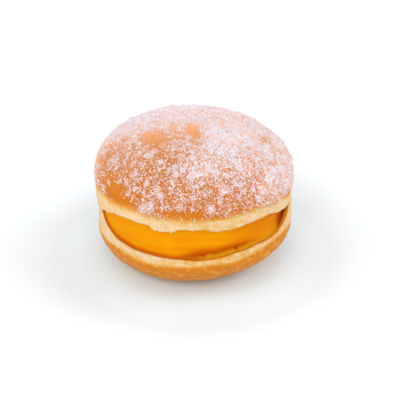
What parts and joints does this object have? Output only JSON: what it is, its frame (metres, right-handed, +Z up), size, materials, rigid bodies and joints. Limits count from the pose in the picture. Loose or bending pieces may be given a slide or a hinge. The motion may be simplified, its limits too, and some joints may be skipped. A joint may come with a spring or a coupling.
{
  "type": "berliner doughnut",
  "caption": "Round fried doughnut cut open through its pale waist, sugared on its domed crust and filled with smooth yellow custard that shows at the front.",
  "frame": {"origin": "middle of the bounding box, on the surface that the doughnut stands on", "axes": "+Z up; -Y toward the open mouth of the cut, where the custard shows; +X to the right, seen from the mouth"},
  "size_m": [0.0875, 0.0875, 0.0628],
  "materials": {
    "sugared_crust": "golden fried crust under white sugar grains, pale cream collar of soft dough below it",
    "browned_crust": "soft brown fried underside with a faint sheen, pale cream collar above it",
    "custard": "smooth glossy yellow custard"
  },
  "bodies": {
    "root": {"bottom_half": "browned_crust", "filling": "custard", "top_half": "sugared_crust"}
  },
  "joints": []
}
